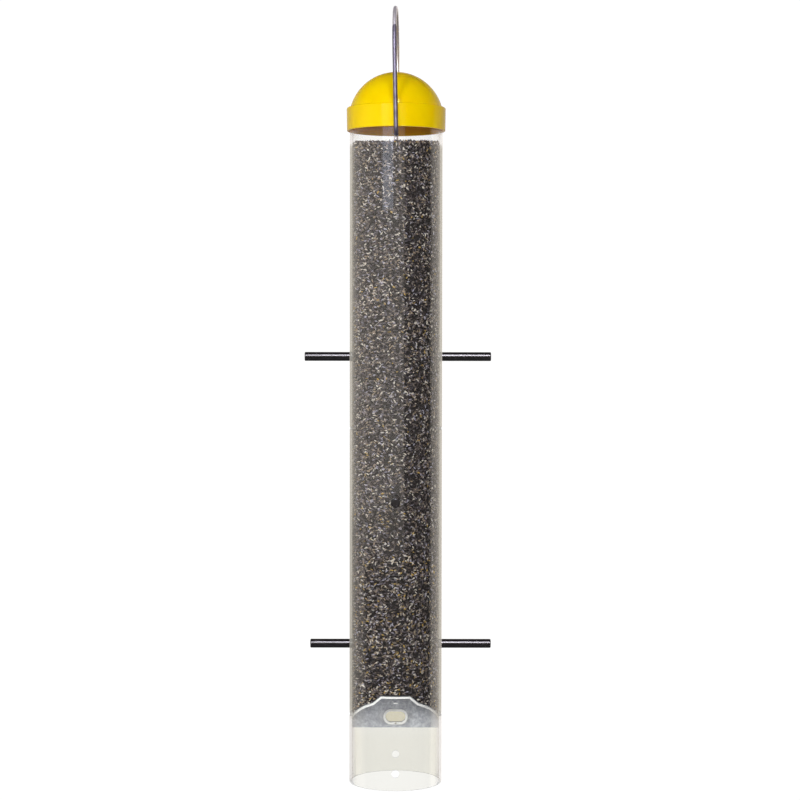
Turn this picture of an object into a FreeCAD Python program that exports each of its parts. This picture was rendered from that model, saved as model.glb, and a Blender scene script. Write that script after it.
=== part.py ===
import FreeCAD, Part
import math
import os
import re

import Sketcher

# Hanging tube feeder for small finches, in millimetres.
# The origin is the hook point: the underside of the wire bail's arch, where the feeder hangs.
# +Z is up, the upper and lower perches lie along X, and the middle perch along Y.
# Heights in the sheet are measured up from the tube's bottom rim, as each body is drawn in
# that frame and then lowered by hook_height.

doc = FreeCAD.newDocument("TubeFeeder")
sheet = doc.addObject("Spreadsheet::Sheet", "Sizes")

SIZES = {
    # The hook point above the tube's bottom rim
    "hook_height": 591.6,
    # Clear tube
    "tube_dia": 71.0,
    "tube_wall": 1.6,
    "tube_length": 515.2,
    "cross_hole_dia": 6.0,
    "cross_hole_height": 13.0,
    # Perches, each pushed through two holes in the tube
    "perch_dia": 6.85,
    "upper_perch_length": 143.0,
    "middle_perch_length": 142.0,
    "lower_perch_length": 139.0,
    "perch_rounding": 0.7,
    "perch_clearance": 0.08,
    "upper_perch_height": 327.8,
    "middle_perch_height": 221.2,
    "lower_perch_height": 106.6,
    "upper_perch_shift": 1.5,
    "lower_perch_shift": 3.8,
    # Feeding slits below the ends of each perch
    "port_width": 13.0,
    "port_opening": 2.2,
    "upper_port_height": 272.7,
    "middle_port_height": 162.5,
    "lower_port_height": 52.4,
    # Wire bail, hinged in two holes below the cap
    "wire_dia": 3.2,
    "wire_clearance": 0.08,
    "bail_hinge_height": 494.8,
    "bail_reach": 40.0,
    "bail_bend": 4.6,
    "bail_front_lean": -2.0,
    "bail_back_lean": 1.2,
    "wire_tip_reach": 30.8,
    "wire_tip_drop": 4.7,
    "wire_tip_bend": 2.2,
    # Cap, a domed lid over the tube's top
    "cap_rim_height": 500.0,
    "cap_seat_height": 515.5,
    "cap_ledge_height": 517.7,
    "cap_top_height": 544.9,
    "cap_rim_dia": 75.2,
    "cap_ledge_dia": 75.8,
    "cap_bore_dia": 71.6,
    "dome_base_dia": 70.2,
    "dome_wall": 1.8,
    "cap_ledge_rounding": 1.3,
    "cap_rim_rounding": 0.3,
    # Seed baffle: a roof that sheds the seed to the two lowest slits, on an upright web
    "baffle_dia": 67.4,
    "crown_height": 71.2,
    "crown_half": 11.0,
    "step_height": 65.8,
    "step_half": 17.0,
    "shoulder_height": 63.0,
    "shoulder_half": 22.8,
    "eaves_height": 49.6,
    "eaves_half": 34.2,
    "eaves_radius": 26.0,
    "roof_thickness": 1.5,
    "web_thickness": 1.6,
    "web_foot_height": 41.4,
    "window_width": 15.4,
    "window_tall": 8.4,
    "window_height": 49.8,
    "rim_width": 1.7,
    "rim_proud": 0.9,
    "vent_width": 3.4,
    "vent_tall": 1.0,
    "vent_height": 60.0,
    "notch_dia": 1.4,
    # Seed column
    "seed_dia": 67.2,
    "seed_top_height": 489.4,
    "seed_gap": 0.1,
    "tunnel_dia": 7.5,
}
for row, (alias, size) in enumerate(SIZES.items(), start=1):
    sheet.set(f"A{row}", alias)
    sheet.set(f"B{row}", str(size))
    sheet.setAlias(f"B{row}", alias)
doc.recompute()


def value(expression):
    """The number that a sheet expression gives now."""
    result = sheet.evalExpression(str(expression))
    return float(getattr(result, "Value", result))


def bind(feature, prop, expression):
    """Ties a property or constraint to an expression of the sheet's names."""
    tied = re.sub(
        r"[a-z_]+", lambda word: f"Sizes.{word[0]}" if word[0] in SIZES else word[0], expression
    )
    feature.setExpression(prop, tied)


def new_body(name):
    """An empty body in the frame of the tube's bottom rim, lowered to hang from the origin."""
    body = doc.addObject("PartDesign::Body", name)
    body.Label = name
    bind(body, "Placement.Base.z", "-hook_height")
    return body


def new_sketch(body, name, plane, lift=None):
    """A sketch on one of the body's own planes, moved along the plane's normal by lift."""
    sketch = body.newObject("Sketcher::SketchObject", name)
    origin_plane = next(f for f in body.Origin.OriginFeatures if f.Role == plane)
    sketch.AttachmentSupport = [(origin_plane, "")]
    sketch.MapMode = "FlatFace"
    if lift is not None:
        bind(sketch, "AttachmentOffset.Base.z", lift)
    doc.recompute()
    return sketch


def fix(sketch, name, kind, where, expression):
    """A dimension of the sketch, bound to the sheet."""
    number = sketch.addConstraint(Sketcher.Constraint(kind, *where, value(expression)))
    sketch.renameConstraint(number, name)
    bind(sketch, f"Constraints.{name}", expression)


def fix_point(sketch, name, point, x, y):
    """Places a point of the sketch at x, y; a coordinate of "0" puts it on that axis."""
    for kind, axis, coordinate in (("DistanceX", -2, x), ("DistanceY", -1, y)):
        if coordinate == "0":
            sketch.addConstraint(Sketcher.Constraint("PointOnObject", *point, axis))
        else:
            fix(sketch, f"{name}_{kind[-1].lower()}", kind, (-1, 1, *point), coordinate)


def circle(sketch, name, x, y, radius):
    """A circle at x, y."""
    centre = FreeCAD.Vector(value(x), value(y), 0)
    up = FreeCAD.Vector(0, 0, 1)
    number = sketch.addGeometry(Part.Circle(centre, up, value(radius)), False)
    fix_point(sketch, name, (number, 3), x, y)
    fix(sketch, f"{name}_radius", "Radius", (number,), radius)


def arc_between(start, end, radius, side):
    """The minor arc from start to end that bulges to the left (side 1) or right (side -1)."""
    chord = end - start
    half = chord.Length / 2
    left = FreeCAD.Vector(-chord.y, chord.x, 0).normalize()
    rise = radius - math.sqrt(radius * radius - half * half)
    return Part.Arc(start, start + chord * 0.5 + left * (side * rise), end)


def outline(sketch, name, corners, arcs=None):
    """A closed outline through corners (pairs of expressions), straight except for the sides
    that arcs lists: side number to (radius expression, side it bulges to)."""
    arcs = arcs or {}
    points = [FreeCAD.Vector(value(x), value(y), 0) for x, y in corners]
    count = len(points)
    sides = []
    for number, start in enumerate(points):
        end = points[(number + 1) % count]
        if number in arcs:
            radius, bulge = arcs[number]
            edge = arc_between(start, end, value(radius), bulge)
        else:
            edge = Part.LineSegment(start, end)
        sides.append(sketch.addGeometry(edge, False))

    def end_at(side, point):
        near = (sketch.getPoint(side, 1) - point).Length < 1e-6
        return (side, 1 if near else 2)

    for number, point in enumerate(points):
        arriving = end_at(sides[number - 1], point)
        leaving = end_at(sides[number], point)
        sketch.addConstraint(Sketcher.Constraint("Coincident", *arriving, *leaving))
        fix_point(sketch, f"{name}{number}", leaving, *corners[number])
    for number, (radius, _) in arcs.items():
        fix(sketch, f"{name}{number}_radius", "Radius", (sides[number],), radius)


def slot(sketch, name, x, y, width, tall):
    """A slot with round ends, width along the sketch's X, centred at x, y."""
    reach = f"(({width}) - ({tall})) / 2"
    radius = f"({tall}) / 2"
    middle = FreeCAD.Vector(value(x), value(y), 0)
    out = FreeCAD.Vector(value(reach), 0, 0)
    rise = FreeCAD.Vector(0, value(radius), 0)
    along = FreeCAD.Vector(value(radius), 0, 0)
    right = sketch.addGeometry(
        Part.Arc(middle + out - rise, middle + out + along, middle + out + rise), False
    )
    left = sketch.addGeometry(
        Part.Arc(middle - out + rise, middle - out - along, middle - out - rise), False
    )
    top = sketch.addGeometry(Part.LineSegment(middle + out + rise, middle - out + rise), False)
    foot = sketch.addGeometry(Part.LineSegment(middle - out - rise, middle + out - rise), False)
    for first, second in (((right, 2), (top, 1)), ((top, 2), (left, 1)),
                          ((left, 2), (foot, 1)), ((foot, 2), (right, 1))):
        sketch.addConstraint(Sketcher.Constraint("Tangent", *first, *second))
    sketch.addConstraint(Sketcher.Constraint("Equal", right, left))
    fix_point(sketch, f"{name}_right", (right, 3), f"({x}) + {reach}", y)
    fix_point(sketch, f"{name}_left", (left, 3), f"({x}) - {reach}", y)
    fix(sketch, f"{name}_radius", "Radius", (right,), radius)


def pad(body, name, sketch, length, symmetric=False):
    """Extrudes the sketch by length, along its normal or to both sides of its plane."""
    feature = body.newObject("PartDesign::Pad", name)
    feature.Profile = sketch
    feature.SideType = "Symmetric" if symmetric else "One side"
    bind(feature, "Length", length)
    doc.recompute()
    return feature


def cut_through(body, name, sketch):
    """Cuts the sketch through the whole body, to both sides of its plane."""
    before = body.Shape.Volume
    feature = body.newObject("PartDesign::Pocket", name)
    feature.Profile = sketch
    feature.SideType = "Symmetric"
    feature.Type = "ThroughAll"
    doc.recompute()
    if body.Shape.Volume > before - 1e-6:
        raise RuntimeError(f"{name} cuts nothing")
    return feature


def make_tube():
    """The clear tube with its perch holes, feeding slits, bail holes and cross holes."""
    body = new_body("tube")
    ring = new_sketch(body, "TubeRing", "XY_Plane")
    circle(ring, "outer", "0", "0", "tube_dia / 2")
    circle(ring, "inner", "0", "0", "tube_dia / 2 - tube_wall")
    pad(body, "TubeWall", ring, "tube_length")
    perch_hole = "perch_dia / 2 + perch_clearance"

    # Along X: the upper and lower perches' holes and slits. This plane's X runs along Y.
    across_x = new_sketch(body, "HolesAlongX", "YZ_Plane")
    for level in ("upper", "lower"):
        circle(across_x, f"{level}_perch", "0", f"{level}_perch_height", perch_hole)
        slot(across_x, f"{level}_port", "0", f"{level}_port_height", "port_width", "port_opening")
    cut_through(body, "CutAlongX", across_x)

    # Along Y: the middle perch's holes and slits, the bail's holes and the cross holes.
    across_y = new_sketch(body, "HolesAlongY", "XZ_Plane")
    circle(across_y, "middle_perch", "0", "middle_perch_height", perch_hole)
    slot(across_y, "middle_port", "0", "middle_port_height", "port_width", "port_opening")
    circle(across_y, "bail_hole", "0", "bail_hinge_height", "wire_dia / 2 + wire_clearance")
    circle(across_y, "cross_hole", "0", "cross_hole_height", "cross_hole_dia / 2")
    cut_through(body, "CutAlongY", across_y)
    return body


def make_cap():
    """The domed cap: a band that fits over the tube, a ledge and a dome, turned in one piece."""
    body = new_body("cap")
    section = new_sketch(body, "CapSection", "XZ_Plane")
    dome_rise = "(cap_top_height - cap_ledge_height)"
    dome_half = "(dome_base_dia / 2)"
    outer = f"(({dome_half}^2 + {dome_rise}^2) / (2 * {dome_rise}))"
    inner = f"({outer} - dome_wall)"
    below_centre = f"(cap_seat_height - (cap_top_height - {outer}))"
    seat_half = f"sqrt({inner}^2 - {below_centre}^2)"
    outline(
        section,
        "cap",
        [
            ("cap_rim_dia / 2", "cap_rim_height"),
            ("cap_ledge_dia / 2", "cap_ledge_height"),
            (dome_half, "cap_ledge_height"),
            ("0", "cap_top_height"),
            ("0", "cap_top_height - dome_wall"),
            (seat_half, "cap_seat_height"),
            ("cap_bore_dia / 2", "cap_seat_height"),
            ("cap_bore_dia / 2", "cap_rim_height"),
        ],
        {2: (outer, -1), 4: (inner, 1)},
    )
    turned = body.newObject("PartDesign::Revolution", "CapTurned")
    turned.Profile = section
    turned.ReferenceAxis = (section, ["V_Axis"])
    turned.Angle = 360
    doc.recompute()

    # The band's outer edges are rounded, the ledge's more than the rim's.
    latest = turned
    for part_of_band in ("ledge", "rim"):
        radius = value(f"cap_{part_of_band}_dia / 2")
        edges = [
            f"Edge{number}"
            for number, edge in enumerate(latest.Shape.Edges, start=1)
            if not edge.Degenerated
            and isinstance(edge.Curve, Part.Circle)
            and abs(edge.Curve.Radius - radius) < 1e-3
        ]
        rounded = body.newObject("PartDesign::Fillet", f"Cap{part_of_band.title()}Rounding")
        rounded.Base = (latest, edges)
        bind(rounded, "Radius", f"cap_{part_of_band}_rounding")
        doc.recompute()
        latest = rounded
    return body


def make_perch(level, turn=0.0, shift=None):
    """A round perch rod along X, turned about Z, at its level and shift along its own length."""
    name = f"perch_{level}"
    body = doc.addObject("PartDesign::Body", name)
    body.Label = name
    disc = new_sketch(body, f"PerchDisc_{level}", "YZ_Plane")
    circle(disc, "rod", "0", "0", "perch_dia / 2")
    rod = pad(body, f"PerchRod_{level}", disc, f"{level}_perch_length", symmetric=True)
    ends = [
        f"Edge{number}"
        for number, edge in enumerate(rod.Shape.Edges, start=1)
        if isinstance(edge.Curve, Part.Circle)
    ]
    rounded = body.newObject("PartDesign::Fillet", f"PerchRounding_{level}")
    rounded.Base = (rod, ends)
    bind(rounded, "Radius", "perch_rounding")
    body.Placement.Rotation = FreeCAD.Rotation(FreeCAD.Vector(0, 0, 1), turn)
    if shift is not None:
        bind(body, "Placement.Base.x", shift)
    bind(body, "Placement.Base.z", f"{level}_perch_height - hook_height")
    doc.recompute()
    return body


def roof_corners(lift, spread):
    """The roof's outline from eaves to eaves, lifted and widened, as pairs of expressions."""
    half = [
        ("crown_half", "crown_height"),
        ("step_half", "step_height"),
        ("shoulder_half", "shoulder_height"),
        ("eaves_half", "eaves_height"),
    ]
    right = [(f"{x} + {spread}", f"{y} + {lift}") for x, y in half]
    left = [(f"-({x} + {spread})", f"{y} + {lift}") for x, y in reversed(half)]
    return left + right


def make_baffle():
    """The seed baffle: a roof across the bore, and a web with a window that carries it."""
    body = new_body("seed_baffle")

    # The roof strip: its top from left eaves to right eaves, and back along its underside.
    roof = new_sketch(body, "RoofSection", "XZ_Plane")
    top = roof_corners("0", "0")
    under = [(x, y) for x, y in reversed(roof_corners("(-roof_thickness)", "(-roof_thickness / 3)"))]
    under[0] = ("eaves_half", "eaves_height - roof_thickness * 1.5")
    under[-1] = ("-eaves_half", "eaves_height - roof_thickness * 1.5")
    arcs = {
        0: ("eaves_radius", 1),
        6: ("eaves_radius", 1),
        8: ("eaves_radius", -1),
        14: ("eaves_radius", -1),
    }
    outline(roof, "roof", top + under, arcs)
    pad(body, "Roof", roof, "tube_dia", symmetric=True)

    # The web, from its straight foot up into the middle of the roof's thickness.
    web = new_sketch(body, "WebOutline", "XZ_Plane")
    crest = roof_corners("(-roof_thickness / 2)", "0")
    foot = [("eaves_half", "web_foot_height"), ("-eaves_half", "web_foot_height")]
    outline(web, "web", crest + foot, {0: ("eaves_radius", 1), 6: ("eaves_radius", 1)})
    pad(body, "Web", web, "web_thickness", symmetric=True)

    # A raised rim round the window, on both faces of the web.
    rim = new_sketch(body, "RimOutline", "XZ_Plane")
    rim_size = ("window_width + 2 * rim_width", "window_tall + 2 * rim_width")
    slot(rim, "rim", "0", "window_height", *rim_size)
    pad(body, "Rim", rim, "web_thickness + 2 * rim_proud", symmetric=True)

    openings = new_sketch(body, "WindowOutline", "XZ_Plane")
    slot(openings, "window", "0", "window_height", "window_width", "window_tall")
    slot(openings, "vent", "0", "vent_height", "vent_width", "vent_tall")
    cut_through(body, "Window", openings)

    # A small round notch in the rim below the window.
    notch = new_sketch(body, "NotchOutline", "XZ_Plane")
    circle(notch, "notch", "0", "window_height - window_tall / 2 - rim_width / 2", "notch_dia / 2")
    cut_through(body, "Notch", notch)

    # What would stand outside the bore is trimmed to a round.
    trim = new_sketch(body, "TrimRing", "XY_Plane")
    circle(trim, "inside", "0", "0", "baffle_dia / 2")
    circle(trim, "outside", "0", "0", "tube_dia")
    cut_through(body, "Trim", trim)
    return body


def make_seed():
    """The column of seed that fills the tube, resting on the baffle's roof."""
    body = new_body("seed_fill")
    disc = new_sketch(body, "SeedDisc", "XY_Plane", "web_foot_height")
    circle(disc, "seed", "0", "0", "seed_dia / 2")
    pad(body, "SeedColumn", disc, "seed_top_height - web_foot_height")

    below = new_sketch(body, "BelowRoof", "XZ_Plane")
    top = roof_corners("seed_gap", "seed_gap / 2")
    foot = [
        ("eaves_half + seed_gap / 2", "web_foot_height - 5"),
        ("-(eaves_half + seed_gap / 2)", "web_foot_height - 5"),
    ]
    arcs = {0: ("eaves_radius", 1), 6: ("eaves_radius", 1)}
    outline(below, "below", top + foot, arcs)
    cut_through(body, "RoofShape", below)

    along_x = new_sketch(body, "TunnelsAlongX", "YZ_Plane")
    for level in ("upper", "lower"):
        circle(along_x, f"{level}_tunnel", "0", f"{level}_perch_height", "tunnel_dia / 2")
    cut_through(body, "TunnelX", along_x)

    along_y = new_sketch(body, "TunnelsAlongY", "XZ_Plane")
    circle(along_y, "middle_tunnel", "0", "middle_perch_height", "tunnel_dia / 2")
    cut_through(body, "TunnelY", along_y)
    return body


def rounded_path(points, radii):
    """A wire through points, with an arc of each radius at the corners between the ends."""
    edges = []
    start = points[0]
    for before, corner, after, radius in zip(points, points[1:], points[2:], radii):
        back = (before - corner).normalize()
        ahead = (after - corner).normalize()
        half_turn = back.getAngle(ahead) / 2
        setback = radius / math.tan(half_turn)
        middle_reach = radius / math.sin(half_turn) - radius
        bisector = (back + ahead).normalize()
        arc_start = corner + back * setback
        arc_end = corner + ahead * setback
        edges.append(Part.LineSegment(start, arc_start).toShape())
        edges.append(Part.Arc(arc_start, corner + bisector * middle_reach, arc_end).toShape())
        start = arc_end
    edges.append(Part.LineSegment(start, points[-1]).toShape())
    return Part.Wire(edges)


def make_bail():
    """The bent wire bail: two legs beside the cap and an arch over it, and at each leg's foot
    an end that goes in through the tube's hole and turns down inside. The legs lean a little
    opposite ways, so the wire isn't quite in one plane."""
    hinge = value("bail_hinge_height")
    reach = value("bail_reach")
    top = value("hook_height + wire_dia / 2")
    tip = value("wire_tip_reach")
    tip_foot = value("bail_hinge_height - wire_tip_drop")
    wire_radius = value("wire_dia / 2")
    points = [
        FreeCAD.Vector(0, -tip, tip_foot),
        FreeCAD.Vector(0, -tip, hinge),
        FreeCAD.Vector(0, -reach, hinge),
        FreeCAD.Vector(value("bail_front_lean"), -reach, top),
        FreeCAD.Vector(value("bail_back_lean"), reach, top),
        FreeCAD.Vector(0, reach, hinge),
        FreeCAD.Vector(0, tip, hinge),
        FreeCAD.Vector(0, tip, tip_foot),
    ]
    tip_bend = value("wire_tip_bend")
    bend = value("bail_bend")
    arch = reach - 0.4
    path = rounded_path(points, [tip_bend, bend, arch, arch, bend, tip_bend])
    disc = Part.Wire(Part.Circle(points[0], FreeCAD.Vector(0, 0, 1), wire_radius).toShape())
    pipe = path.makePipeShell([disc], True, False)
    expected = math.pi * wire_radius**2 * path.Length
    if abs(pipe.Volume - expected) > 0.01 * expected:
        raise RuntimeError("the bail's sweep has the wrong volume")
    rounding = wire_radius * 0.4
    tips = [
        edge
        for edge in pipe.Edges
        if isinstance(edge.Curve, Part.Circle) and abs(edge.CenterOfMass.z - tip_foot) < 1e-3
    ]
    bail = doc.addObject("Part::Feature", "bail_wire")
    bail.Label = "bail_wire"
    bail.Shape = pipe.makeFillet(rounding, tips)
    bind(bail, "Placement.Base.z", "-hook_height")
    return bail


parts = [
    make_tube(),
    make_cap(),
    make_bail(),
    make_perch("upper", shift="upper_perch_shift"),
    make_perch("middle", turn=90.0),
    make_perch("lower", shift="lower_perch_shift"),
    make_baffle(),
    make_seed(),
]
doc.recompute()

for item in doc.Objects:
    if "Invalid" in item.State or "Error" in item.State:
        raise RuntimeError(f"{item.Label} failed: {item.State}")

os.makedirs("parts", exist_ok=True)
for part in parts:
    if part.Shape.isNull() or not part.Shape.isValid():
        raise RuntimeError(f"{part.Label} has no valid shape")
    print(part.Label, "solids", len(part.Shape.Solids), "volume", round(part.Shape.Volume, 1))
for part in parts:
    part.Shape.exportStep(f"parts/{part.Label}.step")
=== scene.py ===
import math

import bpy
import numpy as np
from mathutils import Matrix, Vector
from mathutils.bvhtree import BVHTree


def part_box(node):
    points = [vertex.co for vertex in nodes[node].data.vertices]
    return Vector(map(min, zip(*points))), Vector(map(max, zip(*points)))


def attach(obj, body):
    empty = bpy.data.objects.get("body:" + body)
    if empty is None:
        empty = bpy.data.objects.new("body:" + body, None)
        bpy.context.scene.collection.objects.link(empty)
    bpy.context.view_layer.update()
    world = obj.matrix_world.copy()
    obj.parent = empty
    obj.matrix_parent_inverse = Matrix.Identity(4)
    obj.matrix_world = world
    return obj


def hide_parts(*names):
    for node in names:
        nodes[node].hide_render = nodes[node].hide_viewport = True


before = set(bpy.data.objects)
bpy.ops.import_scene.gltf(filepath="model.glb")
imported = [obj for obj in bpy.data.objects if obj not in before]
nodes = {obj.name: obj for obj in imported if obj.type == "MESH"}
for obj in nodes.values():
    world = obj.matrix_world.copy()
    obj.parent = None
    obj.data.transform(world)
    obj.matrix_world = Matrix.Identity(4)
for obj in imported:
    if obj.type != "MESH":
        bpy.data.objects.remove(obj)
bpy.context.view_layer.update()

MM = 0.001

# Places read from the frame: the tube's foot, the seed column, the baffle, the perches and the
# foot of the round that the wire's turned-down ends sweep.
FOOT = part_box("tube")[0].z
seed_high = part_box("seed_fill")[1]
SEED_RADIUS = seed_high.x
SEED_TOP = seed_high.z
baffle_low, baffle_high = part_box("seed_baffle")
BAFFLE_RADIUS = baffle_high.x
perch_boxes = {level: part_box(f"perch_{level}") for level in ("upper", "middle", "lower")}
WIRE_TIP_ROOM = 2.2 * MM
WIRE_TIP_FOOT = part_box("bail_wire")[0].z - WIRE_TIP_ROOM


def above_foot(height_mm):
    """A height above the tube's bottom rim, in millimetres, as a z in the row's frame."""
    return FOOT + height_mm * MM


# ---------------------------------------------------------------- shader helpers


def new_material(name):
    """An empty node material; returns it with its node tree and output node."""
    material = bpy.data.materials.new(name)
    material.use_nodes = True
    tree = material.node_tree
    tree.nodes.clear()
    return material, tree, tree.nodes.new("ShaderNodeOutputMaterial")


def node(tree, kind, inputs=None, **settings):
    """A node with its settings, and inputs given as plain values or as sockets to link."""
    made = tree.nodes.new(kind)
    for key, setting in settings.items():
        setattr(made, key, setting)
    for key, given in (inputs or {}).items():
        if isinstance(given, bpy.types.NodeSocket):
            tree.links.new(given, made.inputs[key])
        else:
            made.inputs[key].default_value = given
    return made


def maths(tree, operation, first, second=0.0):
    """The output of a Math node."""
    return node(tree, "ShaderNodeMath", {0: first, 1: second}, operation=operation).outputs[0]


def product(tree, first, *others):
    """The product of several values."""
    for other in others:
        first = maths(tree, "MULTIPLY", first, other)
    return first


def size_of(tree, value):
    """A value without its sign."""
    return maths(tree, "ABSOLUTE", value)


def distance(tree, across, along):
    """The length of the diagonal of two sides at right angles."""
    squares = maths(tree, "ADD", product(tree, across, across), product(tree, along, along))
    return maths(tree, "SQRT", squares)


def ramp(tree, factor, stops):
    """The colour output of a colour ramp through stops of (position, colour)."""
    made = node(tree, "ShaderNodeValToRGB", {"Fac": factor})
    elements = made.color_ramp.elements
    while len(elements) > 1:
        elements.remove(elements[-1])
    for number, (place, colour) in enumerate(stops):
        element = elements[0] if number == 0 else elements.new(place)
        element.position = place
        element.color = (*colour, 1.0)
    return made.outputs["Color"]


def smooth_step(tree, value, low, high):
    """0 below low, 1 above high, smooth between; low may be above high to turn it round."""
    ends = {"Value": value, "From Min": low, "From Max": high, "To Min": 0.0, "To Max": 1.0}
    return node(tree, "ShaderNodeMapRange", ends, interpolation_type="SMOOTHSTEP").outputs["Result"]


def rescaled(tree, value, low, high, to_low, to_high):
    """A value carried evenly from one range to another and held at its ends."""
    ends = {"Value": value, "From Min": low, "From Max": high, "To Min": to_low, "To Max": to_high}
    return node(tree, "ShaderNodeMapRange", ends).outputs["Result"]


def mixed_colour(tree, factor, first, second):
    """The colour part way from first, a triple or a socket, to second, a triple or a socket."""
    first, second = (
        given if isinstance(given, bpy.types.NodeSocket) else (*given, 1.0)
        for given in (first, second)
    )
    inputs = {"Factor": factor, 6: first, 7: second}
    return node(tree, "ShaderNodeMix", inputs, data_type="RGBA").outputs[2]


def mixed_shader(tree, factor, first, second):
    """The shader node part way from one shader node to another."""
    inputs = {0: factor, 1: first.outputs[0], 2: second.outputs[0]}
    return node(tree, "ShaderNodeMixShader", inputs)


def object_coords(tree):
    """The point's object coordinates, which at rest are the row's frame."""
    return node(tree, "ShaderNodeTexCoord").outputs["Object"]


def parts_of(tree, vector):
    """The x, y and z of a vector."""
    split = node(tree, "ShaderNodeSeparateXYZ", {"Vector": vector})
    return split.outputs["X"], split.outputs["Y"], split.outputs["Z"]


def noise(tree, coords, scale, detail=3.0, roughness=0.55):
    """The factor of a noise texture."""
    inputs = {"Vector": coords, "Scale": scale, "Detail": detail, "Roughness": roughness}
    return node(tree, "ShaderNodeTexNoise", inputs).outputs["Fac"]


def drawn_out(tree, coords, scale, detail):
    """Noise with its own scale along each axis, so that it is drawn out along one."""
    scaled = node(tree, "ShaderNodeMapping", {"Vector": coords, "Scale": scale})
    return noise(tree, scaled.outputs["Vector"], 1.0, detail)


def bump(tree, height, strength, depth):
    """A normal bumped by height."""
    inputs = {"Height": height, "Strength": strength, "Distance": depth}
    return node(tree, "ShaderNodeBump", inputs).outputs["Normal"]


def transparent(tree, colour):
    """A see-through shader node; colour is a triple or a socket."""
    if not isinstance(colour, bpy.types.NodeSocket):
        colour = (*colour, 1.0)
    return node(tree, "ShaderNodeBsdfTransparent", {"Color": colour})


def dress(name, material):
    """Gives a CAD node its material."""
    piece = nodes[name]
    if not piece.material_slots:
        piece.data.materials.append(material)
    for slot in piece.material_slots:
        slot.link = "OBJECT"
        slot.material = material


# ---------------------------------------------------------------- materials

# The tube. Heights are in millimetres above its foot, unless a name says otherwise.
ACRYLIC_INDEX = 1.49
CLEAR_TINT = (0.992, 0.992, 0.990)
CREAM_TINT = (0.9635, 0.9605, 0.939)
CREAM_START, CREAM_FULL = 63.0, 35.0
EDGE_START, EDGE_FULL = 0.56, 0.78
EMPTY_EDGE_TINT = (0.955, 0.955, 0.965)
SEED_EDGE_TINT = (0.62, 0.61, 0.57)
DUST_TINT = (0.840, 0.816, 0.724)
DUST_MIDDLE = 43.0
DUST_HALF_WIDTH, DUST_HALF_HEIGHT = 14.0 * MM, 7.5 * MM
DUST_FADE = (1.12, 0.88)
DUST_SPECKS, DUST_LEAST = 0.7, 0.6
REAR_START, REAR_FULL = 10 * MM, 25 * MM
SEED_EDGE_ABOVE_BAFFLE = (6 * MM, 16 * MM)
SEED_EDGE_ABOVE_TOP = (1.5 * MM, -2.5 * MM)
FROST_SHARE = 0.45
STREAK_SCALE = (60.0, 60.0, 2.0)
# How far a cut face's normal turns from the radius, as a cosine.
CUT_EDGE = (0.9, 0.75)


def tube_tint(tree, coords):
    """What the wall lets through: creamier in the foot, dim beside the seed, and dusty behind
    the baffle's window."""
    x, y, z = parts_of(tree, coords)
    in_foot = smooth_step(tree, z, above_foot(CREAM_START), above_foot(CREAM_FULL))
    plain = mixed_colour(tree, in_foot, CLEAR_TINT, CREAM_TINT)

    # Seen edge on, the wall beside the seed pipes the seed's own dim light.
    facing = node(tree, "ShaderNodeLayerWeight", {"Blend": 0.5}).outputs["Facing"]
    edge_on = smooth_step(tree, facing, EDGE_START, EDGE_FULL)
    from_baffle = [baffle_low.z + rise for rise in SEED_EDGE_ABOVE_BAFFLE]
    to_top = [SEED_TOP + rise for rise in SEED_EDGE_ABOVE_TOP]
    above_baffle = smooth_step(tree, z, *from_baffle)
    below_top = smooth_step(tree, z, *to_top)
    beside_seed = product(tree, above_baffle, below_top)
    edge = mixed_colour(tree, beside_seed, EMPTY_EDGE_TINT, SEED_EDGE_TINT)
    piped = mixed_colour(tree, edge_on, plain, edge)

    # A soft-edged smudge of seed dust on the rear wall.
    sideways = maths(tree, "DIVIDE", x, DUST_HALF_WIDTH)
    from_middle = maths(tree, "SUBTRACT", z, above_foot(DUST_MIDDLE))
    upright = maths(tree, "DIVIDE", from_middle, DUST_HALF_HEIGHT)
    smudge = smooth_step(tree, distance(tree, sideways, upright), *DUST_FADE)
    grain = noise(tree, coords, 500.0)
    specks = maths(tree, "ADD", product(tree, grain, DUST_SPECKS), DUST_LEAST)
    at_rear = smooth_step(tree, y, REAR_START, REAR_FULL)
    return mixed_colour(tree, product(tree, smudge, at_rear, specks), piped, DUST_TINT)


def tube_gloss(tree, coords):
    """The share of light that the wall reflects, and the shader node that reflects it."""
    streak = drawn_out(tree, coords, STREAK_SCALE, 3.0)
    wave = bump(tree, streak, 0.05, 0.4 * MM)
    colour = (1.0, 1.0, 1.0, 1.0)
    gloss = node(
        tree, "ShaderNodeBsdfGlossy", {"Color": colour, "Roughness": 0.03, "Normal": wave}
    )
    # The index is turned upside down on the way out of the plastic.
    leaving = node(tree, "ShaderNodeNewGeometry").outputs["Backfacing"]
    fall = maths(tree, "MULTIPLY", leaving, ACRYLIC_INDEX - 1.0 / ACRYLIC_INDEX)
    index = maths(tree, "SUBTRACT", ACRYLIC_INDEX, fall)
    share = node(tree, "ShaderNodeFresnel", {"IOR": index, "Normal": wave}).outputs[0]
    return share, gloss


def on_saw_cut(tree, coords):
    """1 on cut faces, whose normal doesn't point along the tube's radius, and 0 elsewhere."""
    world_normal = node(tree, "ShaderNodeNewGeometry").outputs["True Normal"]
    normal = node(
        tree,
        "ShaderNodeVectorTransform",
        {"Vector": world_normal},
        vector_type="NORMAL",
        convert_from="WORLD",
        convert_to="OBJECT",
    )
    flat = node(tree, "ShaderNodeVectorMath", {0: coords, 1: (1, 1, 0)}, operation="MULTIPLY")
    outward = node(tree, "ShaderNodeVectorMath", {0: flat.outputs[0]}, operation="NORMALIZE")
    pair = {0: normal.outputs["Vector"], 1: outward.outputs[0]}
    radial = node(tree, "ShaderNodeVectorMath", pair, operation="DOT_PRODUCT").outputs["Value"]
    return smooth_step(tree, size_of(tree, radial), *CUT_EDGE)


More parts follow.
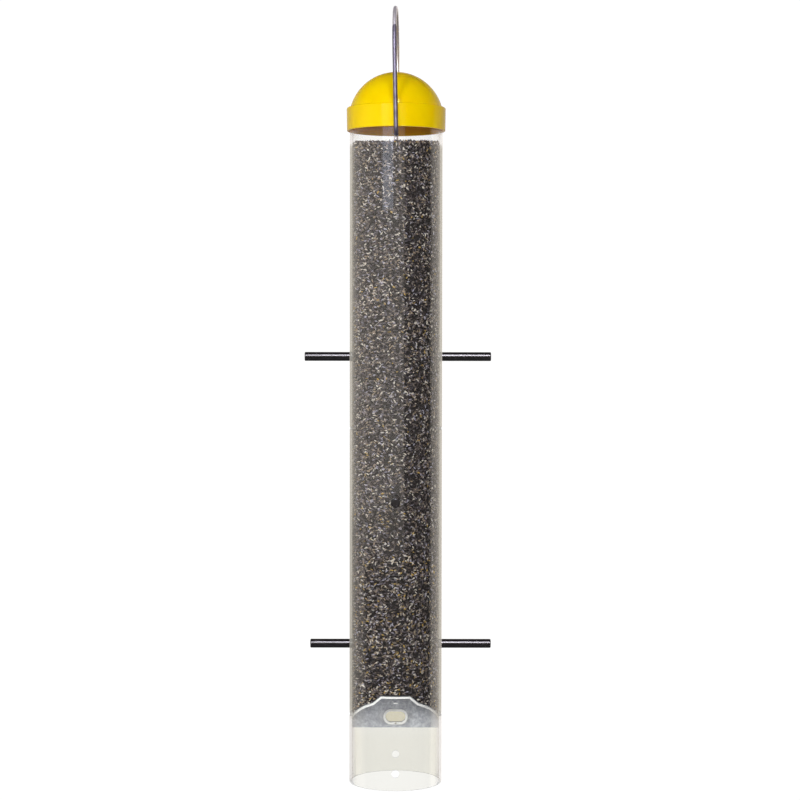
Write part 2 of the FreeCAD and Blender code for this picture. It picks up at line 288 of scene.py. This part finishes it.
def clear_tube_material():
    """Clear extruded tube: Fresnel gloss over its tint, and frosted saw cuts at its ends, holes
    and slits."""
    material, tree, out = new_material("clear_tube")
    coords = object_coords(tree)
    share, gloss = tube_gloss(tree, coords)
    wall = mixed_shader(tree, share, transparent(tree, tube_tint(tree, coords)), gloss)
    frost = node(
        tree,
        "ShaderNodeBsdfPrincipled",
        {"Base Color": (0.76, 0.77, 0.78, 1.0), "Roughness": 0.45},
    )
    cut = mixed_shader(tree, FROST_SHARE, transparent(tree, (0.95, 0.96, 0.97)), frost)
    both = mixed_shader(tree, on_saw_cut(tree, coords), wall, cut)
    tree.links.new(both.outputs[0], out.inputs["Surface"])
    return material


LIGHT_THROUGH_CAP = 0.27


def yellow_material():
    """Moulded yellow plastic, thin enough to glow orange inside, with a faint orange-peel and
    handling marks."""
    material, tree, out = new_material("yellow_cap")
    coords = object_coords(tree)
    colour = ramp(
        tree,
        noise(tree, coords, 55.0),
        [(0.3, (0.885, 0.655, 0.0)), (0.55, (0.918, 0.695, 0.0)), (0.8, (0.94, 0.725, 0.002))],
    )
    orange_peel = noise(tree, coords, 900.0, 2.0)
    marks = drawn_out(tree, coords, (500.0, 500.0, 60.0), 2.0)
    plastic = node(
        tree,
        "ShaderNodeBsdfPrincipled",
        {
            "Base Color": colour,
            "Roughness": rescaled(tree, marks, 0.3, 0.7, 0.12, 0.18),
            "Specular IOR Level": 0.34,
            "Specular Tint": (1.0, 0.95, 0.42, 1.0),
            "Subsurface Weight": 0.12,
            "Subsurface Radius": (1.0, 0.6, 0.05),
            "Subsurface Scale": 2.5 * MM,
            "Normal": bump(tree, orange_peel, 0.08, 0.2 * MM),
        },
    )
    through = node(tree, "ShaderNodeBsdfTranslucent", {"Color": (1.0, 0.46, 0.03, 1.0)})
    wall = mixed_shader(tree, LIGHT_THROUGH_CAP, plastic, through)
    tree.links.new(wall.outputs[0], out.inputs["Surface"])
    return material


# Painted light: the rear leg's paler, creamier colour and how much of it shows.
REAR_LEG_LIGHT_SHARE = 0.95
REAR_LEG_LIT_COLOUR = (1.0, 0.93, 0.84)
# Painted highlight: the near-white of the wire's turned-down ends.
END_GLINT_COLOUR = (0.98, 0.95, 1.0)
WALL_OUTSIDE, WALL_INSIDE = 35.4 * MM, 34.4 * MM


def wire_material():
    """Drawn steel wire: fine lengthwise scratches and a dull, slightly violet grey, with painted
    light on its rear leg and a painted glint on its turned-down ends.
    """
    material, tree, out = new_material("steel_wire")
    coords = object_coords(tree)
    _, y, _ = parts_of(tree, coords)
    drawn = drawn_out(tree, coords, (2500.0, 2500.0, 40.0), 3.0)
    weathered = ramp(
        tree,
        noise(tree, coords, 160.0),
        [(0.3, (0.13, 0.12, 0.16)), (0.55, (0.20, 0.185, 0.245)), (0.8, (0.28, 0.26, 0.33))],
    )
    # Painted light: the rear leg is painted paler and creamier than the front one, standing in for
    # the bright light it catches.
    at_rear = smooth_step(tree, y, -6.0 * MM, 6.0 * MM)
    rear_light_share = maths(tree, "MULTIPLY", at_rear, REAR_LEG_LIGHT_SHARE)
    legs = mixed_colour(tree, rear_light_share, weathered, REAR_LEG_LIT_COLOUR)
    # Painted highlight: the turned-down ends inside the tube are painted near-white, standing in
    # for the glint they show.
    inside = smooth_step(tree, size_of(tree, y), WALL_OUTSIDE, WALL_INSIDE)
    steel = node(
        tree,
        "ShaderNodeBsdfPrincipled",
        {
            "Base Color": mixed_colour(tree, inside, legs, END_GLINT_COLOUR),
            "Metallic": 1.0,
            "Roughness": rescaled(tree, drawn, 0.3, 0.7, 0.46, 0.6),
            "Normal": bump(tree, drawn, 0.15, 0.1 * MM),
        },
    )
    tree.links.new(steel.outputs[0], out.inputs["Surface"])
    return material


DIE_LINE_SCALE, DIE_LINE_SCALE_ALONG = 1600.0, 12.0


def perch_material(axis):
    """Extruded black rod with faint die lines along its length, axis 0 for X or 1 for Y."""
    material, tree, out = new_material(f"black_rod_{'xy'[axis]}")
    coords = object_coords(tree)
    scale = [DIE_LINE_SCALE] * 3
    scale[axis] = DIE_LINE_SCALE_ALONG
    die_lines = drawn_out(tree, coords, scale, 2.0)
    dust = noise(tree, coords, 420.0, 4.0)
    colour = ramp(
        tree,
        dust,
        [
            (0.35, (0.004, 0.003, 0.004)),
            (0.65, (0.009, 0.007, 0.009)),
            (0.85, (0.035, 0.03, 0.035)),
        ],
    )
    plastic = node(
        tree,
        "ShaderNodeBsdfPrincipled",
        {
            "Base Color": colour,
            "Roughness": rescaled(tree, dust, 0.3, 0.8, 0.2, 0.3),
            "Specular IOR Level": 0.6,
            "Normal": bump(tree, die_lines, 0.04, 0.1 * MM),
        },
    )
    tree.links.new(plastic.outputs[0], out.inputs["Surface"])
    return material


# The raised rim round the baffle's window: its middle, in millimetres above the foot, and how
# far it reaches each way.
WINDOW_MIDDLE = 49.8
RIM_REACH_X, RIM_REACH_Z = 9.8 * MM, 6.2 * MM
RIM_FADE_X, RIM_FADE_Z = 0.7 * MM, 0.4 * MM
OUT_OF_WEB = (0.95 * MM, 1.3 * MM)
NEAR_WEB = (3.0 * MM, 2.6 * MM)
BORE_EDGE = (0.5 * MM, 0.2 * MM)
# Painted reflection: the baffle's right-hand end is painted paler, between these reaches in x.
LIT_END_REACH = (25.0 * MM, 31.0 * MM)
LIT_END_SHARE = 0.5
LIT_END_COLOUR = (0.93, 0.93, 0.98)
# Painted highlight: the bore edges and the window's rim are painted near-white and nearly solid,
# standing in for the light they catch.
EDGE_HIGHLIGHT_COLOUR = (0.97, 0.97, 0.96)
FROSTED_SOLIDITY, EDGE_HIGHLIGHT_SOLIDITY = 0.62, 0.97


def baffle_edge_highlight(tree, coords):
    """1 on the baffle's edges that are painted white as a highlight, at the bore and on the
    window's rim, and 0 elsewhere.
    """
    x, y, z = parts_of(tree, coords)
    radius = distance(tree, x, y)
    at_bore = smooth_step(tree, radius, *(BAFFLE_RADIUS - depth for depth in BORE_EDGE))
    from_web = size_of(tree, y)
    from_middle = size_of(tree, maths(tree, "SUBTRACT", z, above_foot(WINDOW_MIDDLE)))
    on_rim = product(
        tree,
        smooth_step(tree, size_of(tree, x), RIM_REACH_X + RIM_FADE_X, RIM_REACH_X),
        smooth_step(tree, from_middle, RIM_REACH_Z + RIM_FADE_Z, RIM_REACH_Z),
        smooth_step(tree, from_web, *OUT_OF_WEB),
        smooth_step(tree, from_web, *NEAR_WEB),
    )
    return maths(tree, "MAXIMUM", at_bore, on_rim)


def baffle_material():
    """Frosted grey moulding, mottled, with painted highlights: white edges where it meets the bore
    and round the window's rim, and a paler right-hand end."""
    material, tree, out = new_material("frosted_baffle")
    coords = object_coords(tree)
    x, _, _ = parts_of(tree, coords)
    # The mask of the painted edge highlights.
    white = baffle_edge_highlight(tree, coords)
    mottle = noise(tree, coords, 420.0, 4.0, 0.65)
    broad = noise(tree, coords, 90.0, 2.0)
    fine_part, broad_part = product(tree, mottle, 0.65), product(tree, broad, 0.35)
    grey = ramp(
        tree,
        maths(tree, "ADD", fine_part, broad_part),
        [(0.38, (0.38, 0.395, 0.45)), (0.5, (0.56, 0.58, 0.64)), (0.62, (0.86, 0.88, 0.95))],
    )
    # Painted reflection: its right-hand end is painted paler, standing in for a reflection there.
    painted_lit_end = product(tree, smooth_step(tree, x, *LIT_END_REACH), LIT_END_SHARE)
    grey = mixed_colour(tree, painted_lit_end, grey, LIT_END_COLOUR)
    plastic = node(
        tree,
        "ShaderNodeBsdfPrincipled",
        {
            "Base Color": mixed_colour(tree, white, grey, EDGE_HIGHLIGHT_COLOUR),
            "Roughness": 0.38,
            "Normal": bump(tree, mottle, 0.35, 0.4 * MM),
        },
    )
    solid = rescaled(tree, white, 0.0, 1.0, FROSTED_SOLIDITY, EDGE_HIGHLIGHT_SOLIDITY)
    frosted = mixed_shader(tree, solid, transparent(tree, (0.86, 0.87, 0.89)), plastic)
    tree.links.new(frosted.outputs[0], out.inputs["Surface"])
    return material


SEED_TONES = [
    # name, colour, roughness, share of the seeds
    ("seed_gold", (0.600, 0.400, 0.085), 0.46, 0.02),
    ("seed_black", (0.008, 0.0065, 0.008), 0.30, 0.20),
    ("seed_charcoal", (0.026, 0.021, 0.023), 0.32, 0.19),
    ("seed_umber", (0.070, 0.053, 0.048), 0.38, 0.16),
    ("seed_slate", (0.135, 0.120, 0.138), 0.34, 0.14),
    ("seed_taupe", (0.240, 0.195, 0.170), 0.42, 0.13),
    ("seed_tan", (0.420, 0.325, 0.225), 0.46, 0.065),
    # The lilac tone is a painted glint: its lilac grey stands in for the main light's bluish glints
    # on the husks.
    ("seed_lilac_glint", (0.460, 0.440, 0.540), 0.36, 0.045),
    ("seed_pale", (0.820, 0.760, 0.670), 0.46, 0.05),
]
GOLD_TONE = 0


def seed_materials():
    """One plain husk material per tone; the mix of tones and of single seeds is the pattern."""
    made = []
    for name, colour, roughness, _ in SEED_TONES:
        material, tree, out = new_material(name)
        husk = node(
            tree,
            "ShaderNodeBsdfPrincipled",
            {"Base Color": (*colour, 1.0), "Roughness": roughness, "Specular IOR Level": 0.55},
        )
        tree.links.new(husk.outputs[0], out.inputs["Surface"])
        made.append(material)
    return made


def shaded_core_material():
    """Painted shade: the near-black depth between the outermost seeds, standing in for the shaded
    seeds further in.
    """
    material, tree, out = new_material("seed_depth_shade")
    grain = noise(tree, object_coords(tree), 900.0, 4.0, 0.7)
    colour = ramp(
        tree,
        grain,
        [
            (0.4, (0.004, 0.0035, 0.004)),
            (0.6, (0.018, 0.014, 0.012)),
            (0.75, (0.06, 0.045, 0.03)),
        ],
    )
    dull = node(
        tree,
        "ShaderNodeBsdfPrincipled",
        {"Base Color": colour, "Roughness": 0.8, "Normal": bump(tree, grain, 0.6, 0.8 * MM)},
    )
    tree.links.new(dull.outputs[0], out.inputs["Surface"])
    return material


# ---------------------------------------------------------------- seed column

rng = np.random.default_rng(20417)
roof_tree = BVHTree.FromObject(nodes["seed_baffle"], bpy.context.evaluated_depsgraph_get())

SIDE_TRIES, TOP_TRIES = 58000, 2600
SEED_BANDS = 10
GOLDEN_BANDS = 3
GOLD_LOW, GOLD_HIGH = 2.0, 0.6
COLUMN_LOW, COLUMN_HIGH = baffle_low.z, SEED_TOP + 3.0 * MM

# How deep the seeds lie below the column's surface, in millimetres: the least, and the range.
LEAST_DEPTH, DEPTH_RANGE = 0.6, 1.9
LEAN_SPREAD, SPIN_SPREAD, TOP_TILT_SPREAD = 0.36, 0.75, 0.7
ABOVE_ROOF, BELOW_TOP, PERCH_ROOM = 0.9 * MM, 0.4 * MM, 1.0 * MM
TIP_SWEEP_HALF_WIDTH, TIP_SWEEP_REACH = 7.5 * MM, 27 * MM

# Seed sizes in millimetres: mean, spread, least and most.
SEED_LENGTHS = (2.8, 0.42, 1.9, 3.9)
SEED_WIDTHS = (0.98, 0.13, 0.7, 1.35)
FLATNESS = 0.82
BEND_SPREAD = 0.05
# The share of seeds with a painted highlight streak along one side.
HIGHLIGHT_STREAK_SHARE = 0.35

# A seed is a spindle: rings at shares of its length, each a share of its width, between tips.
SIDES = 5
RINGS = ((-0.5, 0.0), (-0.24, 0.86), (0.14, 1.0), (0.5, 0.0))


def roof_height(x, y):
    """The z of the baffle's roof below x, y."""
    reach = math.hypot(x, y)
    limit = BAFFLE_RADIUS - 0.4 * MM
    if reach > limit:
        x, y = x * limit / reach, y * limit / reach
    above = Vector((x, y, baffle_high.z + 20 * MM))
    hit = roof_tree.ray_cast(above, Vector((0, 0, -1)))[0]
    return hit.z if hit else baffle_low.z


def top_height(x, y):
    """The z of the seed's uneven top at x, y: crossing waves, in radians per metre, on a top
    that is a little higher at its left and right and falls off at the wall."""
    reach = math.hypot(x, y) / SEED_RADIUS
    swell = 0.9 * math.sin(x * 95.0 + 0.7) + 0.7 * math.cos(y * 120.0 - 0.4)
    swell += 0.6 * math.sin((x - y) * 260.0 + 1.1)
    side = 2.4 * (x / SEED_RADIUS) ** 2
    return SEED_TOP + (0.45 * swell + side - 0.5 * reach**8) * MM


def near_wire_tip(point):
    """True where a seed would stand in the round that a wire tip sweeps as the bail swings."""
    beside = abs(point[0]) < TIP_SWEEP_HALF_WIDTH and abs(point[1]) > TIP_SWEEP_REACH
    return beside and point[2] > WIRE_TIP_FOOT


def near_perch(point):
    """True where a seed would stand in a perch's tunnel."""
    for level, (low, high) in perch_boxes.items():
        middle = (low + high) / 2
        across = point[1] - middle.y if level != "middle" else point[0] - middle.x
        if math.hypot(across, point[2] - middle.z) < (high.z - low.z) / 2 + PERCH_ROOM:
            return True
    return False


def side_seeds():
    """Centres, long axes and outward directions of the seeds lying against the wall."""
    angles = rng.uniform(0, 2 * math.pi, SIDE_TRIES)
    heights = rng.uniform(COLUMN_LOW, COLUMN_HIGH, SIDE_TRIES)
    depths = LEAST_DEPTH + DEPTH_RANGE * rng.random(SIDE_TRIES) ** 1.4
    leans = rng.normal(0, LEAN_SPREAD, SIDE_TRIES)
    spins = rng.normal(0.0, SPIN_SPREAD, SIDE_TRIES)
    found = []
    for angle, height, depth, lean, spin in zip(angles, heights, depths, leans, spins):
        out = np.array([math.cos(angle), math.sin(angle), 0.0])
        centre = out * (SEED_RADIUS - depth * MM)
        centre[2] = height
        if height > top_height(centre[0], centre[1]) - BELOW_TOP:
            continue
        if height < roof_height(centre[0], centre[1]) + ABOVE_ROOF:
            continue
        if near_perch(centre) or near_wire_tip(centre):
            continue
        around = np.array([-out[1], out[0], 0.0])
        along = around * math.cos(spin) + np.array([0, 0, 1.0]) * math.sin(spin)
        long_axis = along * math.cos(lean) - out * abs(math.sin(lean))
        found.append((centre, long_axis, out))
    return found


def top_seeds():
    """Centres, long axes and up directions of the seeds on the column's top."""
    found = []
    for _ in range(TOP_TRIES):
        reach = (SEED_RADIUS - 1.2 * MM) * math.sqrt(rng.random())
        angle = rng.uniform(0, 2 * math.pi)
        x, y = reach * math.cos(angle), reach * math.sin(angle)
        z = top_height(x, y) + rng.uniform(-1.2, 0.9) * MM
        if near_wire_tip((x, y, z)):
            continue
        spin = rng.uniform(0, 2 * math.pi)
        tilt = rng.normal(0, TOP_TILT_SPREAD)
        level = math.cos(tilt)
        axis = np.array([math.cos(spin) * level, math.sin(spin) * level, math.sin(tilt)])
        found.append((np.array([x, y, z]), axis, np.array([0.0, 0.0, 1.0])))
    return found


def drawn_sizes(sizes, count):
    """Random sizes in metres, from their mean, spread, least and most in millimetres."""
    mean, spread, least, most = sizes
    return rng.normal(mean, spread, count).clip(least, most) * MM


def seed_vertices(seeds, length, width, bend, flip):
    """The corners of every seed, one after another: a tip, two rings and the other tip."""
    centres = np.array([centre for centre, _, _ in seeds])
    axes = np.array([axis for _, axis, _ in seeds])
    faces_out = np.array([out for _, _, out in seeds])
    axes /= np.linalg.norm(axes, axis=1)[:, None]
    across = np.cross(faces_out, axes)
    across /= np.linalg.norm(across, axis=1)[:, None]
    up = np.cross(axes, across)
    points = []
    for along, girth in RINGS:
        spine = axes * (along * flip * length)[:, None]
        spine += across * (bend * length * (0.25 - along * along) * 4.0)[:, None]
        if girth == 0.0:
            points.append((centres + spine)[:, None, :])
            continue
        half = (width * 0.5 * girth)[:, None]
        ring = []
        for side in range(SIDES):
            turn = 2 * math.pi * side / SIDES
            sideways = across * half * math.cos(turn)
            ring.append(centres + spine + sideways + up * half * FLATNESS * math.sin(turn))
        points.append(np.stack(ring, axis=1))
    return np.concatenate(points, axis=1).reshape(-1, 3)


def seed_pattern():
    """The faces of one seed, as corners counted from its first."""
    first, second, tip = 1, 1 + SIDES, 1 + 2 * SIDES
    pattern = []
    for side in range(SIDES):
        after = (side + 1) % SIDES
        pattern.append((0, first + after, first + side))
        pattern.append((first + side, first + after, second + after, second + side))
        pattern.append((second + side, second + after, tip))
    return pattern


def add_seed_piece(name, mesh):
    """Puts a piece of the seed in the scene, riding with the tube."""
    mesh.polygons.foreach_set("use_smooth", np.ones(len(mesh.polygons), bool))
    mesh.update()
    piece = bpy.data.objects.new(name, mesh)
    bpy.context.scene.collection.objects.link(piece)
    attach(piece, "feeder")
    return piece


def seed_mesh(name, seeds, materials, gold):
    """One mesh of many slender seeds, each a five-sided spindle with a slight bend; gold
    scales the share of golden ones."""
    count = len(seeds)
    length = drawn_sizes(SEED_LENGTHS, count)
    width = drawn_sizes(SEED_WIDTHS, count)
    bend = rng.normal(0.0, BEND_SPREAD, count)
    flip = np.where(rng.random(count) < 0.5, 1.0, -1.0)
    vertices = seed_vertices(seeds, length, width, bend, flip)
    per_seed = len(vertices) // count
    pattern = seed_pattern()
    faces = []
    for number in range(count):
        base = number * per_seed
        for corner in pattern:
            moved = tuple(base + c for c in corner)
            faces.append(moved if flip[number] > 0 else moved[::-1])
    mesh = bpy.data.meshes.new(name)
    mesh.from_pydata(vertices.tolist(), [], faces)
    for material in materials:
        mesh.materials.append(material)

    shares = np.array([share for _, _, _, share in SEED_TONES])
    shares[GOLD_TONE] *= gold
    tones = rng.choice(len(SEED_TONES), count, p=shares / shares.sum())
    highlight_stripes = np.minimum(tones + rng.integers(1, 4, count), len(SEED_TONES) - 1)
    slots = np.repeat(tones, len(pattern)).reshape(count, len(pattern))
    # Painted highlight: a streaked seed has one side, from tip to tip, painted in one of the next
    # three
    #     # tones, paler than the rest of it to stand in for a highlight along a ridge, or dark on
    #     gold.
    highlight_streaked = rng.random(count) < HIGHLIGHT_STREAK_SHARE
    slots[highlight_streaked, 3:6] = highlight_stripes[highlight_streaked, None]
    mesh.polygons.foreach_set("material_index", slots.ravel().astype(np.int32))
    add_seed_piece(name, mesh)


CORE_INSET = 2.0 * MM
CORE_ABOVE_ROOF = 0.5 * MM
CORE_BELOW_TOP = 1.6 * MM
CORE_RIPPLE = 0.35 * MM
CORE_SPOKES, CORE_RINGS, CORE_LEVELS = 120, 10, 90


def core_rings():
    """The core's rings from the middle of its foot, up its side and to the middle of its top:
    each a radius and how far up it lies, from 0 at the roof to 1 at the top."""
    radius = SEED_RADIUS - CORE_INSET
    radii = [radius * step / CORE_RINGS for step in range(1, CORE_RINGS + 1)]
    levels = np.linspace(0, 1, CORE_LEVELS)[1:-1]
    foot = [(reach, 0.0) for reach in radii]
    side = [(radius, level) for level in levels]
    top = [(reach, 1.0) for reach in reversed(radii)]
    return foot + side + top


def core_piece():
    """The closed body behind the outermost seeds, shaped by the roof below it and coloured
    near-black as painted shade.
    """
    rings = core_rings()
    vertices = [(0.0, 0.0, roof_height(0, 0) + CORE_ABOVE_ROOF)]
    for radius, level in rings:
        for number in range(CORE_SPOKES):
            turn = 2 * math.pi * number / CORE_SPOKES
            reach = radius
            if 0.0 < level < 1.0:
                reach += CORE_RIPPLE * math.sin(level * 900 + number * 1.7)
            x, y = reach * math.cos(turn), reach * math.sin(turn)
            low = roof_height(x, y) + CORE_ABOVE_ROOF
            high = top_height(x, y) - CORE_BELOW_TOP
            vertices.append((x, y, low + (high - low) * level))
    vertices.append((0.0, 0.0, top_height(0, 0) - CORE_BELOW_TOP))
    last = len(vertices) - 1
    top_ring = last - CORE_SPOKES
    faces = []
    for number in range(CORE_SPOKES):
        after = (number + 1) % CORE_SPOKES
        faces.append((0, 1 + after, 1 + number))
        for ring in range(len(rings) - 1):
            here = 1 + ring * CORE_SPOKES
            above = here + CORE_SPOKES
            faces.append((here + number, here + after, above + after, above + number))
        faces.append((top_ring + number, top_ring + after, last))
    mesh = bpy.data.meshes.new("seed_core")
    mesh.from_pydata(vertices, [], faces)
    mesh.materials.append(shaded_core_material())
    piece = add_seed_piece("seed_core", mesh)
    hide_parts("seed_fill")


def make_seed_column():
    """The core, the seeds against the wall in bands of height, and the seeds on top. Golden
    seeds have settled in the lowest bands."""
    core_piece()
    materials = seed_materials()
    seeds = side_seeds()
    height = COLUMN_HIGH - COLUMN_LOW
    for band in range(SEED_BANDS):
        start = COLUMN_LOW + height * band / SEED_BANDS
        stop = COLUMN_LOW + height * (band + 1) / SEED_BANDS
        chosen = [seed for seed in seeds if start <= seed[0][2] < stop]
        gold = GOLD_LOW if band < GOLDEN_BANDS else GOLD_HIGH
        seed_mesh(f"seeds_band_{band + 1}", chosen, materials, gold)
    seed_mesh("seeds_top", top_seeds(), materials, GOLD_HIGH)


# ---------------------------------------------------------------- studio

# The studio that surfaces see: how bright each wall is, and the azimuths or elevations, in
# degrees, between which it fades in or out. Azimuth is from the front towards +X.
WARM_LIGHT = (1.0, 0.925, 0.83, 1.0)
FRONT_WALL = 0.68
FRONT_WALL_EDGE = (23.5, 21.0)
FRONT_WALL_FOOT = (-7.8, -4.6)
FRONT_WALL_HEAD = (24.0, 14.0)
BACK_LEFT_WALL = 0.5
BACK_LEFT_EDGE = (-80.0, -88.0)
BACK_RIGHT_WALL = 0.85
BACK_RIGHT_EDGE = (98.5, 101.5)
BACK_WALLS_HEIGHT = (36.0, 16.0)
STUDIO_GLOOM = 0.08
WALL_DIFFUSE = 0.5
SEEN_WHITE = 1.05

FLOOR_HALF = 3.0
FLOOR_DROP = 0.9
FLOOR_GREY = (0.30, 0.30, 0.30, 1.0)

LIGHT_DISTANCE = 1.9


def surroundings(tree):
    """How bright the studio is each way: a pale wall on the left and at the back, parted by a
    dark opening on the right, and dim above and below."""
    way = node(tree, "ShaderNodeTexCoord").outputs["Generated"]
    x, y, z = parts_of(tree, way)
    azimuth = maths(tree, "DEGREES", maths(tree, "ARCTAN2", x, product(tree, y, -1.0)))
    rise = maths(tree, "DEGREES", maths(tree, "ARCSINE", z))

    front = smooth_step(tree, azimuth, *FRONT_WALL_EDGE)
    front_height = product(
        tree, smooth_step(tree, rise, *FRONT_WALL_FOOT), smooth_step(tree, rise, *FRONT_WALL_HEAD)
    )
    back_height = smooth_step(tree, size_of(tree, rise), *BACK_WALLS_HEIGHT)
    back_left = smooth_step(tree, azimuth, *BACK_LEFT_EDGE)
    back_right = smooth_step(tree, azimuth, *BACK_RIGHT_EDGE)
    walls = [
        product(tree, front, front_height, FRONT_WALL),
        product(tree, back_left, back_height, BACK_LEFT_WALL),
        product(tree, back_right, back_height, BACK_RIGHT_WALL),
    ]
    wall = maths(tree, "MAXIMUM", walls[0], maths(tree, "MAXIMUM", walls[1], walls[2]))
    return maths(tree, "ADD", wall, STUDIO_GLOOM)


def make_world():
    """Surroundings that the camera sees as plain white and surfaces see as the studio, whose
    walls light them at half their brightness."""
    world = bpy.data.worlds.new("studio")
    bpy.context.scene.world = world
    world.use_nodes = True
    tree = world.node_tree
    tree.nodes.clear()
    out = tree.nodes.new("ShaderNodeOutputWorld")
    rays = node(tree, "ShaderNodeLightPath")
    loss = product(tree, rays.outputs["Is Diffuse Ray"], 1.0 - WALL_DIFFUSE)
    strength = product(tree, surroundings(tree), maths(tree, "SUBTRACT", 1.0, loss))
    studio = node(tree, "ShaderNodeBackground", {"Color": WARM_LIGHT, "Strength": strength})
    white = {"Color": (1.0, 1.0, 1.0, 1.0), "Strength": SEEN_WHITE}
    seen = node(tree, "ShaderNodeBackground", white)
    both = mixed_shader(tree, rays.outputs["Is Camera Ray"], studio, seen)
    tree.links.new(both.outputs[0], out.inputs["Surface"])


def make_floor():
    """A pale floor well below the hanging feeder, which the camera sees as white."""
    depth = FOOT - FLOOR_DROP
    corners = [
        (side * FLOOR_HALF, end * FLOOR_HALF, depth)
        for side, end in ((-1, -1), (1, -1), (1, 1), (-1, 1))
    ]
    mesh = bpy.data.meshes.new("floor")
    mesh.from_pydata(corners, [], [(0, 1, 2, 3)])
    floor = bpy.data.objects.new("floor", mesh)
    bpy.context.scene.collection.objects.link(floor)
    material, tree, out = new_material("pale_floor")
    matt = node(tree, "ShaderNodeBsdfDiffuse", {"Color": FLOOR_GREY})
    white = {"Color": (1.0, 1.0, 1.0, 1.0), "Strength": SEEN_WHITE}
    seen = node(tree, "ShaderNodeEmission", white)
    camera_ray = node(tree, "ShaderNodeLightPath").outputs["Is Camera Ray"]
    both = mixed_shader(tree, camera_ray, matt, seen)
    tree.links.new(both.outputs[0], out.inputs["Surface"])
    mesh.materials.append(material)


def area_light(name, place, target, size, energy, colour=(1.0, 1.0, 1.0)):
    """A rectangular soft light at place, facing target; size is its width and height."""
    data = bpy.data.lights.new(name, "AREA")
    data.shape = "RECTANGLE"
    data.size, data.size_y = size
    data.energy = energy
    data.color = colour
    light = bpy.data.objects.new(name, data)
    bpy.context.scene.collection.objects.link(light)
    light.location = place
    direction = Vector(target) - Vector(place)
    light.rotation_euler = direction.to_track_quat("-Z", "Y").to_euler()
    return light


def polar(azimuth, elevation, height):
    """A light's place by azimuth from the front, -Y, towards +X, and elevation, in degrees,
    about the point of the axis at a height."""
    turn, rise = math.radians(azimuth), math.radians(elevation)
    flat = LIGHT_DISTANCE * math.cos(rise)
    up = height + LIGHT_DISTANCE * math.sin(rise)
    return (flat * math.sin(turn), -flat * math.cos(turn), up)


def make_lights():
    """One tall soft box, two broad washes, and two lights that only make gloss."""
    middle = above_foot(300.0)
    at_middle = (0.0, 0.0, middle)
    # The main light, tall, on the front left and just too high to show in the tube.
    place, target = polar(-26, 18.4, above_foot(500.0)), (0.0, 0.0, above_foot(420.0))
    size, cool = (0.42, 0.80), (0.91, 0.975, 1.0)
    area_light("key", place, target, size, energy=13.0, colour=cool)
    # Washes from both sides of the camera, which leave no highlight.
    place = polar(-72, 12, middle)
    left = area_light("left_wash", place, at_middle, (1.2, 1.6), energy=14.0)
    place = polar(8, 15, middle)
    front = area_light("front_wash", place, at_middle, (1.0, 1.2), energy=31.5)
    left.visible_glossy = front.visible_glossy = False
    # Gloss only: the line of light along the perches, and a cool sheen high on the tube.
    size, lilac = (0.3, 0.9), (0.94, 0.9, 1.0)
    place = polar(1, 34, middle)
    rods = area_light("rod_gloss", place, at_middle, size, energy=38.0, colour=lilac)
    place, target = polar(-21, 0, above_foot(636.0)), (0.0, 0.0, above_foot(470.0))
    size, blue = (0.9, 0.15), (0.72, 0.8, 1.0)
    sheen = area_light("tube_sheen", place, target, size, energy=0.6, colour=blue)
    rods.visible_diffuse = sheen.visible_diffuse = False


LENS = 86.9
SENSOR_WIDTH = 36.0
CAMERA_SIDE, CAMERA_BACK, CAMERA_HEIGHT = 0.0031, 1.4828, 344.7
TIP_DOWN, ROLL = 1.943, -0.075


def make_camera():
    """A long lens a little above the middle of the feeder, tipped slightly down."""
    data = bpy.data.cameras.new("camera")
    data.lens = LENS
    data.sensor_width = SENSOR_WIDTH
    camera = bpy.data.objects.new("camera", data)
    bpy.context.scene.collection.objects.link(camera)
    camera.location = (CAMERA_SIDE, -CAMERA_BACK, above_foot(CAMERA_HEIGHT))
    camera.rotation_euler = (math.radians(90.0 - TIP_DOWN), math.radians(ROLL), 0.0)
    bpy.context.scene.camera = camera


# ---------------------------------------------------------------- the model


def dress_nodes():
    """Gives every CAD node that shows its material."""
    dress("tube", clear_tube_material())
    dress("cap", yellow_material())
    dress("bail_wire", wire_material())
    rod_along_x = perch_material(0)
    dress("perch_upper", rod_along_x)
    dress("perch_lower", rod_along_x)
    dress("perch_middle", perch_material(1))
    dress("seed_baffle", baffle_material())
    # The clear wall shows no mirror image of the rods beside its holes.
    for level in perch_boxes:
        nodes[f"perch_{level}"].visible_glossy = False


make_camera()
dress_nodes()
make_seed_column()
make_world()
make_floor()
make_lights()
bpy.context.scene.view_settings.view_transform = "Standard"
